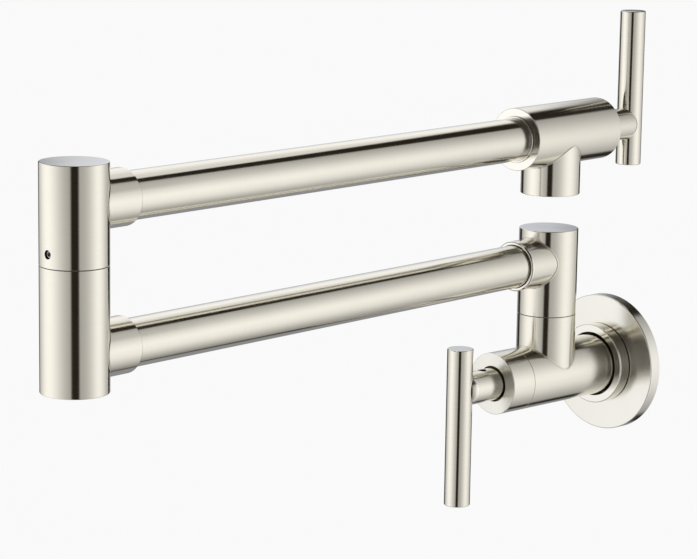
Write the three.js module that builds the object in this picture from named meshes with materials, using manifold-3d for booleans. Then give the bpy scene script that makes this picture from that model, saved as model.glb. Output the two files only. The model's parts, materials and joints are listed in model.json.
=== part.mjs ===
// Wall mounted pot filler: a fixed wall valve, two folding arms and a spout valve.
// Millimetres, +Z up. The wall is the plane y = 0 and the room is on its -Y side.
// The origin is where the wall valve's axis meets the wall.
import * as THREE from "three";
import { mergeVertices } from "three/addons/utils/BufferGeometryUtils.js";
import Module from "manifold-3d";

const wasm = await Module();
wasm.setup();

// ---------- Driving dimensions ----------

// Clearances.
const GAP = 0.3; // between a turned piece and the bore round it
const FACE_GAP = 0.25; // between two stacked faces
const SEAM = 0.3; // visible joint line of a swivel or a sleeve

// Wall flange, its gasket and its ring.
const FLANGE_RADIUS = 32.9;
const FLANGE_THICKNESS = 6.0;
const FLANGE_EDGE = 0.4;
const GASKET_INNER_RADIUS = 22.3;
const GASKET_WIDTH = 6.4;
const GASKET_THICKNESS = 0.9;
const RING_RADIUS = 19.2;
const RING_EDGE = 0.6;
const RING_HEIGHT = 6.6;
const RING_FOOT = 0.5; // step that makes a dark line at the ring's foot
const RING_REVEAL = 0.9; // dark line between the ring and the barrel
const RING_GRIP_LENGTH = 2.6;
const RING_GRIP_START = 1.6;
const RING_GRIP_RADIUS = 1.0;

// Barrels of the two valves.
const CARTRIDGE_RADIUS = 10.0;
const NOSE_WALL = 2.3;
const SLEEVE_WALL = 1.67;
const SLEEVE_SEAT_LENGTH = 5.2;
const SLEEVE_FACE_THICKNESS = 8.6;
const SPOUT_BONNET_THICKNESS = 4.5;
const HUB_REVEAL = 0.8; // dark line between a face and the handle hub
const EDGE = 0.4; // broken edge on the visible faces

// Cartridge, from its seat outward.
const SEAL_THICKNESS = 1.0;
const FIXED_DISC_THICKNESS = 3.2;
const MOVING_DISC_THICKNESS = 2.4;
const DISC_SHRINK = 0.7; // discs are this much smaller than the cartridge
const SPINDLE_FLANGE_THICKNESS = 1.5;
const CARTRIDGE_FRONT_WALL = 4.2;
const CARTRIDGE_NUT_THICKNESS = 3.5;
const NUT_SLOT_WIDTH = 2.4;
const NUT_SLOT_DEPTH = 1.2;
const PORT_RADIUS = 3.4;
const PORT_OFFSET = 5.4;
const CHANNEL_WIDTH = 3.2;
const CHANNEL_REACH = 7.0; // from the axis to either end of the channel

// Handle.
const HANDLE_SPINDLE_RADIUS = 4.3;
const HANDLE_SPINDLE_FLAT = 3.3;
const HUB_WALL = 3.04;
const HUB_STANDOFF = 4.0; // from the cartridge nut to the hub's back end
const SPINDLE_ENGAGEMENT = 14.1;
const HUB_LENGTH = 23.5;
const HUB_SHORT_OF_BAR = 3.2; // from the hub's end face to the bar's axis
const BAR_RADIUS = 6.12;
const BAR_LONG_END = 54.6;
const BAR_SHORT_END = 19.9;
const BAR_SCREW_RADIUS = 2.2;
const BAR_SCREW_HEAD_RADIUS = 4.0;
const BAR_SCREW_HEAD_THICKNESS = 2.2;
const BAR_SCREW_REACH = 4.5;
const HANDLE_GRUB_RADIUS = 1.55;
const HANDLE_GRUB_SINK = 1.0;
const HANDLE_GRUB_SETBACK = 2.0; // from the spindle's end to the grub screw

// Wall valve body.
const POST_OFFSET = 45.5; // from the wall to the wall post's axis
const BODY_SETBACK = 0.4; // from the wall to the body's back end
const INLET_THREAD_RADIUS = 9.3;
const BUSHING_WALL = 2.9;
const BUSHING_LENGTH = 14.4;
const STRAINER_THICKNESS = 1.6;
const STRAINER_RADIUS = 10.2;
const WALL_SEAT_AHEAD = 9.8; // from the post's axis to the cartridge seat
const WALL_SEAM_HEIGHT = 29.6;

// Swivels.
const SPINDLE_RADIUS = 8.0;
const SPINDLE_BORE_RADIUS = 4.5;
const SPINDLE_THREAD_STEP = 0.7;
const SPINDLE_THREAD_LENGTH = 13.0;
const SPINDLE_HEIGHT = 20.0;
const LOCK_GROOVE_HEIGHT = 5.8;
const LOCK_GROOVE_WIDTH = 3.0;
const GROOVE_DEPTH = 1.8;
const FIRST_SEAL_HEIGHT = 10.6;
const SECOND_SEAL_HEIGHT = 15.4;
const SEAL_RING_RADIUS = 0.85;
const SEAL_GROOVE_WIDTH = 2.4;
const WASHER_THICKNESS = 1.2;
const WASHER_WIDTH = 3.7;
const POST_WALL = 5.7;
const POST_GRUB_RADIUS = 1.55;
const POST_GRUB_SINK = 1.4;
const POST_GRUB_TIP_RADIUS = 1.15;
const POST_GRUB_TIP_LENGTH = 1.3;
const GRUB_SOCKET_RADIUS = 0.95;
const GRUB_SOCKET_DEPTH = 1.6;

// Arms.
const ARM_SWING = 4.6; // degrees from square to the wall, in the photographed pose
const ARM_LENGTH = 300.0; // between swivel axes, the same for both arms
const ARM_ONE_HEIGHT = 55.0;
const ARM_TWO_HEIGHT = 114.9;
const TUBE_RADIUS = 10.0;
const TUBE_WALL = 1.3;
const SOCKET_WALL = 1.5;
const SOCKET_LENGTH = 11.4;
const SOCKET_EDGE = 0.7;
const ARM_PASSAGE_RADIUS = 6.0;
const WALL_POST_TOP = 70.6;
const ELBOW_BOTTOM = 39.5;
const ELBOW_SEAM_HEIGHT = 90.5;
const ELBOW_TOP = 131.6;

// Spout valve.
const SPOUT_TAIL = 26.9; // from the nozzle's axis back to the end face
const TAIL_SOCKET_LENGTH = 11.5;
const GLAND_WALL = 0.55;
const GLAND_LENGTH = 3.3;
const GLAND_PROUD = 1.1;
const SPOUT_SEAT_AHEAD = 12.85; // from the nozzle's axis to the cartridge seat
const NOZZLE_LENGTH = 27.7; // below the upper arm's axis
const NOZZLE_WALL = 1.6;
const NOZZLE_BORE_RADIUS = 9.0;
const NOZZLE_ROOF = 3.0; // below the upper arm's axis
const AERATOR_LENGTH = 9.4;
const AERATOR_SINK = 0.5;
const AERATOR_WALL = 2.1;
const AERATOR_INSERT_SINK = 1.2;
const AERATOR_INSERT_LENGTH = 6.0;

// Perforated discs.
const HOLE_RADIUS = 1.05;
const HOLE_PITCH = 3.7;

// Facets round an outer piece, an inner piece, a screw and a small hole.
const SIDES = 32;
const INNER_SIDES = 20;
const SMALL_SIDES = 12;
const HOLE_SIDES = 6;
const HEX_SIDES = 6;
const SEAL_SECTION_SIDES = 6;

// ---------- Derived sizes ----------

const CHAMBER_RADIUS = CARTRIDGE_RADIUS + GAP;
const NOSE_RADIUS = CHAMBER_RADIUS + NOSE_WALL;
const SLEEVE_BORE_RADIUS = NOSE_RADIUS + GAP;
const BARREL_RADIUS = SLEEVE_BORE_RADIUS + SLEEVE_WALL;
const HUB_BORE_RADIUS = HANDLE_SPINDLE_RADIUS + GAP;
const HUB_RADIUS = HUB_BORE_RADIUS + HUB_WALL;
const FACE_HOLE_RADIUS = HUB_RADIUS + HUB_REVEAL;
const DISC_RADIUS = CARTRIDGE_RADIUS - DISC_SHRINK;
const HANDLE_GRUB_HOLE = HANDLE_GRUB_RADIUS + GAP;
const POST_GRUB_HOLE = POST_GRUB_RADIUS + GAP;
const BAR_SCREW_HOLE = BAR_SCREW_RADIUS + GAP;

const SWIVEL_BORE_RADIUS = SPINDLE_RADIUS + GAP;
const POST_RADIUS = SWIVEL_BORE_RADIUS + POST_WALL;
const SPINDLE_THREAD_RADIUS = SPINDLE_RADIUS + SPINDLE_THREAD_STEP;
const GROOVE_RADIUS = SPINDLE_RADIUS - GROOVE_DEPTH;
const WASHER_INNER_RADIUS = SPINDLE_THREAD_RADIUS;
const WASHER_OUTER_RADIUS = WASHER_INNER_RADIUS + WASHER_WIDTH;

const SOCKET_BORE_RADIUS = TUBE_RADIUS + GAP;
const SOCKET_RADIUS = SOCKET_BORE_RADIUS + SOCKET_WALL;
const SOCKET_FLOOR = POST_RADIUS + SOCKET_EDGE;
const SOCKET_END = SOCKET_FLOOR + SOCKET_LENGTH;
const TUBE_BORE_RADIUS = TUBE_RADIUS - TUBE_WALL;

// Distances ahead of a cartridge seat.
const SEAL_BACK = FACE_GAP;
const SEAL_FRONT = SEAL_BACK + SEAL_THICKNESS;
const FIXED_BACK = SEAL_FRONT + FACE_GAP;
const FIXED_FRONT = FIXED_BACK + FIXED_DISC_THICKNESS;
const MOVING_BACK = FIXED_FRONT + FACE_GAP;
const MOVING_FRONT = MOVING_BACK + MOVING_DISC_THICKNESS;
const SPINDLE_BACK = MOVING_FRONT + FACE_GAP;
const SPINDLE_STEP = SPINDLE_BACK + SPINDLE_FLANGE_THICKNESS;
const POCKET_FRONT = SPINDLE_STEP + FACE_GAP;
const CARTRIDGE_FRONT = POCKET_FRONT + CARTRIDGE_FRONT_WALL;
const NUT_BACK = CARTRIDGE_FRONT + FACE_GAP;
const NOSE_END = NUT_BACK + CARTRIDGE_NUT_THICKNESS;
const BONNET_BACK = NOSE_END + GAP;
const HUB_BACK = NOSE_END + HUB_STANDOFF;
const SPINDLE_END = HUB_BACK + SPINDLE_ENGAGEMENT;
const SCREW_HEAD_BACK = SPINDLE_END + GAP;
const SCREW_HEAD_FRONT = SCREW_HEAD_BACK + BAR_SCREW_HEAD_THICKNESS;
const HUB_BORE_END = SCREW_HEAD_FRONT + FACE_GAP;
const HUB_END = HUB_BACK + HUB_LENGTH;
const BAR_AXIS = HUB_END + HUB_SHORT_OF_BAR;
const BAR_SCREW_END = BAR_AXIS - BAR_RADIUS + BAR_SCREW_REACH;
const HANDLE_GRUB_AT = SPINDLE_END - HANDLE_GRUB_SETBACK;

// ---------- Geometry helpers ----------

// The direction out of the wall, -Y, takes the place of a turned piece's own +Z.
const OUTWARD = new THREE.Matrix4().makeBasis(
  new THREE.Vector3(1, 0, 0),
  new THREE.Vector3(0, 0, 1),
  new THREE.Vector3(0, -1, 0),
);

// A closed three.js geometry as a solid that can be joined and cut.
function asSolid(geometry) {
  const bare = geometry.index ? geometry.toNonIndexed() : geometry.clone();
  bare.deleteAttribute("normal");
  bare.deleteAttribute("uv");
  const merged = mergeVertices(bare, 1e-4);
  const corners = merged.index.array;
  const kept = [];
  for (let i = 0; i < corners.length; i += 3) {
    const [a, b, c] = [corners[i], corners[i + 1], corners[i + 2]];
    if (a !== b && b !== c && c !== a) kept.push(a, b, c);
  }
  const make = (triangles) =>
    new wasm.Manifold(
      new wasm.Mesh({
        numProp: 3,
        vertProperties: merged.attributes.position.array,
        triVerts: new Uint32Array(triangles),
      }),
    );
  const solid = make(kept);
  return solid.volume() > 0 ? solid : make(kept.reverse());
}

// A solid as a three.js geometry with flat-shaded faces.
function asGeometry(solid) {
  const mesh = solid.getMesh();
  const geometry = new THREE.BufferGeometry();
  const points = new THREE.BufferAttribute(new Float32Array(mesh.vertProperties), 3);
  geometry.setAttribute("position", points);
  geometry.setIndex(new THREE.BufferAttribute(new Uint32Array(mesh.triVerts), 1));
  geometry.computeVertexNormals();
  return geometry;
}

// Profile points are [radius, distance along the axis], in order round the section.
function lathe(profile, sides) {
  const points = profile.map(([r, h]) => new THREE.Vector2(r, h));
  points.push(points[0].clone());
  const geometry = new THREE.LatheGeometry(points, sides);
  return geometry.applyMatrix4(new THREE.Matrix4().makeRotationX(Math.PI / 2));
}

// Turned about a vertical axis through (x, y).
function upright(profile, y = 0, sides = SIDES, x = 0) {
  return asSolid(lathe(profile, sides).translate(x, y, 0));
}

// Turned about an axis square to the wall, through (x, z), measured out from y.
function outward(profile, z = 0, sides = SIDES, y = 0, x = 0) {
  return asSolid(lathe(profile, sides).applyMatrix4(OUTWARD).translate(x, y, z));
}

// Profile of a plain rod between two distances along its axis.
function rod(radius, from, to) {
  return [
    [0, from],
    [radius, from],
    [radius, to],
    [0, to],
  ];
}

// Profile of a rod with broken edges at one or both ends.
function edgedRod(radius, from, to, fromEdge, toEdge) {
  const profile = [[0, from]];
  if (fromEdge > 0) profile.push([radius - fromEdge, from]);
  profile.push([radius, from + fromEdge]);
  profile.push([radius, to - toEdge]);
  if (toEdge > 0) profile.push([radius - toEdge, to]);
  profile.push([0, to]);
  return profile;
}

// Profile of a plain ring.
function ring(outer, inner, from, to) {
  return [
    [inner, from],
    [outer, from],
    [outer, to],
    [inner, to],
  ];
}

// Box given by its two opposite corners.
function box(low, high) {
  const size = high.map((v, i) => v - low[i]);
  const middle = high.map((v, i) => (v + low[i]) / 2);
  return asSolid(new THREE.BoxGeometry(...size).translate(...middle));
}

// A round section swept round a vertical axis.
function sealRing(meanRadius, sectionRadius, height) {
  const torus = new THREE.TorusGeometry(meanRadius, sectionRadius, SEAL_SECTION_SIDES, INNER_SIDES);
  return asSolid(torus.translate(0, 0, height));
}

// Through holes on a hexagonal pattern inside a radius, cut along the Z axis.
function perforate(solid, limit, from, to, tool) {
  const rows = Math.ceil(limit / HOLE_PITCH) + 1;
  let cut = solid;
  for (let i = -rows; i <= rows; i += 1) {
    for (let j = -rows; j <= rows; j += 1) {
      const x = (i + j / 2) * HOLE_PITCH;
      const v = j * HOLE_PITCH * Math.sin(Math.PI / 3);
      if (Math.hypot(x, v) + HOLE_RADIUS > limit) continue;
      cut = cut.subtract(tool(x, v, from, to));
    }
  }
  return cut;
}

// ---------- Materials ----------

function metal(color, roughness) {
  return new THREE.MeshStandardMaterial({ color, roughness, metalness: 1 });
}

const NICKEL = metal(0xcfcabd, 0.3);
const NICKEL_FACE = metal(0xc4c4c2, 0.34);
const BRASS = metal(0xc9a557, 0.35);
const STEEL = metal(0x8d8d8b, 0.4);
const RUBBER = new THREE.MeshStandardMaterial({ color: 0x1c1c1d, roughness: 0.85 });
const CERAMIC = new THREE.MeshStandardMaterial({ color: 0xe9e6dd, roughness: 0.25 });
const PLASTIC = new THREE.MeshStandardMaterial({ color: 0xd9dad8, roughness: 0.5 });

function piece(group, name, solid, material) {
  const mesh = new THREE.Mesh(asGeometry(solid), material);
  mesh.name = name;
  group.add(mesh);
  return mesh;
}

// ---------- Cartridge and handle, shared by both valves ----------

// Everything inside a valve ahead of its seat. The axis is y at local z = 0.
function cartridge(fixedGroup, turningGroup, prefix, seat) {
  const at = (profile) => outward(profile, 0, INNER_SIDES, -seat);
  const port = (from, to, side) =>
    outward(rod(PORT_RADIUS, from, to), side * PORT_OFFSET, SMALL_SIDES, -seat);
  const past = FACE_GAP / 2;

  const seal = at(rod(DISC_RADIUS, SEAL_BACK, SEAL_FRONT))
    .subtract(port(SEAL_BACK - past, SEAL_FRONT + past, 1))
    .subtract(port(SEAL_BACK - past, SEAL_FRONT + past, -1));
  piece(fixedGroup, `${prefix}_seat_seal`, seal, RUBBER);

  const fixedDisc = at(rod(DISC_RADIUS, FIXED_BACK, FIXED_FRONT))
    .subtract(port(FIXED_BACK - past, FIXED_FRONT + past, 1))
    .subtract(port(FIXED_BACK - past, FIXED_FRONT + past, -1));
  piece(fixedGroup, `${prefix}_fixed_disc`, fixedDisc, CERAMIC);

  // The moving disc has a blind channel on its back. At rest it lies between the two
  // ports, which are shut, and a quarter turn brings it over both.
  const channelDepth = MOVING_DISC_THICKNESS / 2;
  const channel = box(
    [-CHANNEL_REACH, -(seat + MOVING_BACK + channelDepth), -CHANNEL_WIDTH / 2],
    [CHANNEL_REACH, -(seat + MOVING_BACK - past), CHANNEL_WIDTH / 2],
  );
  const movingDisc = at(rod(DISC_RADIUS, MOVING_BACK, MOVING_FRONT)).subtract(channel);
  piece(turningGroup, `${prefix}_moving_disc`, movingDisc, CERAMIC);

  // Brass shell: a pocket for the moving disc and the spindle's flange, then a neck.
  const shell = at([
    [DISC_RADIUS + GAP, MOVING_BACK],
    [CARTRIDGE_RADIUS, MOVING_BACK],
    [CARTRIDGE_RADIUS, CARTRIDGE_FRONT],
    [HUB_BORE_RADIUS, CARTRIDGE_FRONT],
    [HUB_BORE_RADIUS, POCKET_FRONT],
    [DISC_RADIUS + GAP, POCKET_FRONT],
  ]);
  piece(fixedGroup, `${prefix}_cartridge_body`, shell, BRASS);

  // Retaining nut, with two slots for a spanner.
  const slot = box(
    [-CARTRIDGE_RADIUS - GAP, -(seat + NOSE_END + GAP), -NUT_SLOT_WIDTH / 2],
    [CARTRIDGE_RADIUS + GAP, -(seat + NOSE_END - NUT_SLOT_DEPTH), NUT_SLOT_WIDTH / 2],
  );
  const nut = at(ring(CARTRIDGE_RADIUS, HUB_BORE_RADIUS, NUT_BACK, NOSE_END)).subtract(slot);
  piece(fixedGroup, `${prefix}_cartridge_nut`, nut, BRASS);

  // Spindle with its driving flange, and a flat for the grub screw.
  const flat = box(
    [-HANDLE_SPINDLE_RADIUS - GAP, -(seat + SPINDLE_END + GAP), HANDLE_SPINDLE_FLAT],
    [
      HANDLE_SPINDLE_RADIUS + GAP,
      -(seat + HUB_BACK + GAP),
      HANDLE_SPINDLE_RADIUS + GAP,
    ],
  );
  const spindle = at([
    [0, SPINDLE_BACK],
    [DISC_RADIUS, SPINDLE_BACK],
    [DISC_RADIUS, SPINDLE_STEP],
    [HANDLE_SPINDLE_RADIUS, SPINDLE_STEP],
    [HANDLE_SPINDLE_RADIUS, SPINDLE_END],
    [0, SPINDLE_END],
  ]).subtract(flat);
  piece(turningGroup, `${prefix}_cartridge_spindle`, spindle, BRASS);
}

// Hub, bar and their two screws. The bar's long end points down at local rest.
function handle(group, prefix, seat) {
  const grooveRadius = BAR_RADIUS + GAP;
  const barY = -(seat + BAR_AXIS);
  const grubY = -(seat + HANDLE_GRUB_AT);

  const hub = outward(
    edgedRod(HUB_RADIUS, HUB_BACK, HUB_END, 0, EDGE),
    0,
    SIDES,
    -seat,
  )
    .subtract(
      outward(rod(HUB_BORE_RADIUS, HUB_BACK - GAP, HUB_BORE_END), 0, INNER_SIDES, -seat),
    )
    .subtract(outward(rod(BAR_SCREW_HOLE, HUB_BORE_END - GAP, BAR_AXIS), 0, SMALL_SIDES, -seat))
    .subtract(upright(rod(grooveRadius, -HUB_RADIUS - GAP, HUB_RADIUS + GAP), barY))
    .subtract(upright(rod(HANDLE_GRUB_HOLE, 0, HUB_RADIUS + GAP), grubY, SMALL_SIDES));
  piece(group, `${prefix}_handle_hub`, hub, NICKEL);

  const bar = upright(edgedRod(BAR_RADIUS, -BAR_LONG_END, BAR_SHORT_END, EDGE, EDGE), barY)
    .subtract(
      outward(
        rod(BAR_SCREW_HOLE, HUB_END - BAR_RADIUS, BAR_SCREW_END + GAP),
        0,
        SMALL_SIDES,
        -seat,
      ),
    );
  piece(group, `${prefix}_handle_bar`, bar, NICKEL);

  const screw = outward(
    [
      [0, SCREW_HEAD_BACK],
      [BAR_SCREW_HEAD_RADIUS, SCREW_HEAD_BACK],
      [BAR_SCREW_HEAD_RADIUS, SCREW_HEAD_FRONT],
      [BAR_SCREW_RADIUS, SCREW_HEAD_FRONT],
      [BAR_SCREW_RADIUS, BAR_SCREW_END],
      [0, BAR_SCREW_END],
    ],
    0,
    SMALL_SIDES,
    -seat,
  ).subtract(
    outward(
      rod(BAR_SCREW_RADIUS, SCREW_HEAD_BACK - GAP, SCREW_HEAD_BACK + GRUB_SOCKET_DEPTH),
      0,
      HEX_SIDES,
      -seat,
    ),
  );
  piece(group, `${prefix}_handle_bar_screw`, screw, STEEL);

  const grubTop = HUB_RADIUS - HANDLE_GRUB_SINK;
  const grub = upright(
    rod(HANDLE_GRUB_RADIUS, HANDLE_SPINDLE_FLAT + FACE_GAP, grubTop),
    grubY,
    SMALL_SIDES,
  ).subtract(
    upright(
      rod(GRUB_SOCKET_RADIUS, grubTop - GRUB_SOCKET_DEPTH, grubTop + GAP),
      grubY,
      HEX_SIDES,
    ),
  );
  piece(group, `${prefix}_handle_grub_screw`, grub, STEEL);
}

// ---------- Swivel, shared by the wall post and the elbow ----------

// Hollow spindle screwed into the lower piece, with one lock groove and two seal grooves.
function swivelSpindle(seam) {
  const groove = (middle, width) => [
    [SPINDLE_RADIUS, seam + middle - width / 2],
    [GROOVE_RADIUS, seam + middle - width / 2],
    [GROOVE_RADIUS, seam + middle + width / 2],
    [SPINDLE_RADIUS, seam + middle + width / 2],
  ];
  const profile = [
    [SPINDLE_BORE_RADIUS, seam - SPINDLE_THREAD_LENGTH],
    [SPINDLE_THREAD_RADIUS, seam - SPINDLE_THREAD_LENGTH],
    [SPINDLE_THREAD_RADIUS, seam - FACE_GAP],
    [SPINDLE_RADIUS, seam - FACE_GAP],
    ...groove(LOCK_GROOVE_HEIGHT, LOCK_GROOVE_WIDTH),
    ...groove(FIRST_SEAL_HEIGHT, SEAL_GROOVE_WIDTH),
    ...groove(SECOND_SEAL_HEIGHT, SEAL_GROOVE_WIDTH),
    [SPINDLE_RADIUS, seam + SPINDLE_HEIGHT],
    [SPINDLE_BORE_RADIUS, seam + SPINDLE_HEIGHT],
  ];
  return upright(profile, 0, INNER_SIDES);
}

function swivelPieces(lowerGroup, prefix, seam) {
  piece(lowerGroup, `${prefix}_swivel_spindle`, swivelSpindle(seam), BRASS);
  const meanRadius = GROOVE_RADIUS + FACE_GAP / 2 + SEAL_RING_RADIUS;
  const lowerSeal = sealRing(meanRadius, SEAL_RING_RADIUS, seam + FIRST_SEAL_HEIGHT);
  const upperSeal = sealRing(meanRadius, SEAL_RING_RADIUS, seam + SECOND_SEAL_HEIGHT);
  piece(lowerGroup, `${prefix}_lower_seal_ring`, lowerSeal, RUBBER);
  piece(lowerGroup, `${prefix}_upper_seal_ring`, upperSeal, RUBBER);
  const washer = upright(
    ring(WASHER_OUTER_RADIUS, WASHER_INNER_RADIUS, seam, seam + WASHER_THICKNESS),
    0,
    INNER_SIDES,
  );
  piece(lowerGroup, `${prefix}_thrust_washer`, washer, PLASTIC);
}

// A turning post over a swivel spindle, with the arm's socket on its -Y side.
function turningPost(seam, top, armHeight) {
  const bottom = seam + SEAM;
  const roof = armHeight + SWIVEL_BORE_RADIUS - GAP;
  const grubHeight = seam + LOCK_GROOVE_HEIGHT;
  return upright(edgedRod(POST_RADIUS, bottom, top, 0, EDGE))
    .add(outward(edgedRod(SOCKET_RADIUS, 0, SOCKET_END, 0, SOCKET_EDGE), armHeight))
    .subtract(upright(rod(SWIVEL_BORE_RADIUS, bottom - GAP, roof)))
    .subtract(
      upright(rod(WASHER_OUTER_RADIUS + GAP, bottom - GAP, seam + WASHER_THICKNESS + FACE_GAP)),
    )
    .subtract(armPassage(armHeight))
    .subtract(outward(rod(POST_GRUB_HOLE, -POST_RADIUS - GAP, 0), grubHeight, SMALL_SIDES));
}

// The bore of an arm socket and the water passage behind it.
function armPassage(armHeight) {
  return outward(
    [
      [0, 0],
      [ARM_PASSAGE_RADIUS, 0],
      [ARM_PASSAGE_RADIUS, SOCKET_FLOOR],
      [SOCKET_BORE_RADIUS, SOCKET_FLOOR],
      [SOCKET_BORE_RADIUS, SOCKET_END + GAP],
      [0, SOCKET_END + GAP],
    ],
    armHeight,
  );
}

// Grub screw on the +Y side of a turning post, its tip in the spindle's lock groove.
function postGrub(seam) {
  const height = seam + LOCK_GROOVE_HEIGHT;
  const outer = -(POST_RADIUS - POST_GRUB_SINK);
  const tip = -(GROOVE_RADIUS + GAP);
  return outward(
    [
      [0, outer],
      [POST_GRUB_RADIUS, outer],
      [POST_GRUB_RADIUS, tip - POST_GRUB_TIP_LENGTH - GAP],
      [POST_GRUB_TIP_RADIUS, tip - POST_GRUB_TIP_LENGTH - GAP],
      [POST_GRUB_TIP_RADIUS, tip],
      [0, tip],
    ],
    height,
    SMALL_SIDES,
  ).subtract(
    outward(
      rod(GRUB_SOCKET_RADIUS, outer - GAP, outer + GRUB_SOCKET_DEPTH),
      height,
      HEX_SIDES,
    ),
  );
}

// ---------- Fixed wall side ----------

const filler = new THREE.Group();
const wallSide = new THREE.Group();
const wallHandle = new THREE.Group();
const lowerArm = new THREE.Group();
const upperArm = new THREE.Group();
const spoutValve = new THREE.Group();
const spoutHandle = new THREE.Group();
filler.add(wallSide);
wallSide.add(wallHandle);

const barrelHole = BARREL_RADIUS + GAP;
const gasketGroove = ring(
  GASKET_INNER_RADIUS + GASKET_WIDTH + GAP,
  GASKET_INNER_RADIUS - GAP,
  -GAP,
  GASKET_THICKNESS + FACE_GAP,
);
const flange = outward(edgedRod(FLANGE_RADIUS, 0, FLANGE_THICKNESS, 0, FLANGE_EDGE))
  .subtract(outward(rod(barrelHole, -GAP, FLANGE_THICKNESS + GAP)))
  .subtract(outward(gasketGroove));
piece(wallSide, "wall_flange", flange, NICKEL_FACE);

const gasket = outward(
  ring(GASKET_INNER_RADIUS + GASKET_WIDTH, GASKET_INNER_RADIUS, 0, GASKET_THICKNESS),
);
piece(wallSide, "flange_gasket", gasket, RUBBER);

// Flat-faced ring in front of the flange, stepped at its foot, with a groove inside for its
// rubber grip.
const ringBore = BARREL_RADIUS + RING_REVEAL;
const ringFront = FLANGE_THICKNESS + RING_HEIGHT;
const ringProfile = [
  [ringBore, FLANGE_THICKNESS],
  [RING_RADIUS - RING_FOOT, FLANGE_THICKNESS],
  [RING_RADIUS - RING_FOOT, FLANGE_THICKNESS + RING_FOOT],
  [RING_RADIUS, FLANGE_THICKNESS + RING_FOOT],
  [RING_RADIUS, ringFront - RING_EDGE],
  [RING_RADIUS - RING_EDGE, ringFront],
  [ringBore + EDGE, ringFront],
  [ringBore, ringFront - EDGE],
];
const gripGroove = ring(
  ringBore + RING_GRIP_RADIUS + GAP,
  BARREL_RADIUS,
  FLANGE_THICKNESS + RING_GRIP_START,
  FLANGE_THICKNESS + RING_GRIP_START + RING_GRIP_LENGTH,
);
const flangeRing = outward(ringProfile).subtract(outward(gripGroove));
piece(wallSide, "flange_ring", flangeRing, NICKEL);

const gripMiddle = FLANGE_THICKNESS + RING_GRIP_START + RING_GRIP_LENGTH / 2;
const gripInner = BARREL_RADIUS + GAP;
const gripOuter = ringBore + RING_GRIP_RADIUS;
const gripHalf = RING_GRIP_LENGTH / 2 - FACE_GAP;
const grip = outward([
  [gripInner, gripMiddle - gripHalf / 2],
  [(gripInner + gripOuter) / 2, gripMiddle - gripHalf],
  [gripOuter, gripMiddle - gripHalf / 2],
  [gripOuter, gripMiddle + gripHalf / 2],
  [(gripInner + gripOuter) / 2, gripMiddle + gripHalf],
  [gripInner, gripMiddle + gripHalf / 2],
]);
piece(wallSide, "ring_seal", grip, RUBBER);

// Valve body: barrel, threaded nose and the stub that carries the wall post.
const wallSeat = POST_OFFSET + WALL_SEAT_AHEAD;
const wallNoseEnd = wallSeat + NOSE_END;
const wallSeam = wallNoseEnd - SLEEVE_SEAT_LENGTH;
const bushingBack = BODY_SETBACK;
const bushingFront = bushingBack + BUSHING_LENGTH;
const bushingRadius = INLET_THREAD_RADIUS + BUSHING_WALL;
const strainerBack = bushingFront + FACE_GAP;
const strainerFront = strainerBack + STRAINER_THICKNESS;
const inletFloor = strainerFront + FACE_GAP;
const stubFloor = WALL_SEAM_HEIGHT - SPINDLE_THREAD_LENGTH - GAP;

const wallBody = outward([
  [0, BODY_SETBACK],
  [BARREL_RADIUS, BODY_SETBACK],
  [BARREL_RADIUS, wallSeam],
  [NOSE_RADIUS, wallSeam],
  [NOSE_RADIUS, wallNoseEnd],
  [0, wallNoseEnd],
])
  .add(upright(rod(POST_RADIUS, 0, WALL_SEAM_HEIGHT), -POST_OFFSET))
  .subtract(outward(rod(bushingRadius + GAP, BODY_SETBACK - GAP, strainerBack)))
  .subtract(outward(rod(STRAINER_RADIUS + GAP, bushingFront, inletFloor)))
  .subtract(outward(rod(CHAMBER_RADIUS, wallSeat, wallNoseEnd + GAP)))
  .subtract(outward(rod(PORT_RADIUS, inletFloor - GAP, wallSeat + GAP), -PORT_OFFSET, SMALL_SIDES))
  .subtract(outward(rod(PORT_RADIUS, POST_OFFSET, wallSeat + GAP), PORT_OFFSET, SMALL_SIDES))
  .subtract(upright(rod(SPINDLE_BORE_RADIUS, PORT_OFFSET, stubFloor + GAP), -POST_OFFSET))
  .subtract(
    upright(rod(SPINDLE_THREAD_RADIUS + GAP, stubFloor, WALL_SEAM_HEIGHT + GAP), -POST_OFFSET),
  );
piece(wallSide, "wall_valve_body", wallBody, NICKEL);

const bushing = outward(ring(bushingRadius, INLET_THREAD_RADIUS, bushingBack, bushingFront));
piece(wallSide, "inlet_bushing", bushing, BRASS);

const strainerTool = (x, v, from, to) =>
  outward(rod(HOLE_RADIUS, from, to), v, HOLE_SIDES, 0, x);
const strainer = perforate(
  outward(rod(STRAINER_RADIUS, strainerBack, strainerFront)),
  STRAINER_RADIUS - HOLE_RADIUS,
  strainerBack - FACE_GAP,
  strainerFront + FACE_GAP,
  strainerTool,
);
piece(wallSide, "inlet_strainer", strainer, STEEL);

// Bonnet sleeve over the nose, its face open round the handle hub.
const wallFace = wallNoseEnd + GAP + SLEEVE_FACE_THICKNESS;
const sleeve = outward(edgedRod(BARREL_RADIUS, wallSeam + SEAM, wallFace, 0, EDGE))
  .subtract(outward(rod(SLEEVE_BORE_RADIUS, wallSeam, wallNoseEnd + GAP)))
  .subtract(outward(rod(FACE_HOLE_RADIUS, wallNoseEnd, wallFace + GAP)));
piece(wallSide, "wall_bonnet_sleeve", sleeve, NICKEL);

cartridge(wallSide, wallHandle, "wall", wallSeat);
handle(wallHandle, "wall", wallSeat);

// ---------- Lower arm ----------

lowerArm.position.set(0, -POST_OFFSET, 0);
lowerArm.rotation.z = THREE.MathUtils.degToRad(ARM_SWING);
filler.add(lowerArm);

const wallSwivel = new THREE.Group();
wallSwivel.position.set(0, -POST_OFFSET, 0);
wallSide.add(wallSwivel);
swivelPieces(wallSwivel, "wall", WALL_SEAM_HEIGHT);

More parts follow.
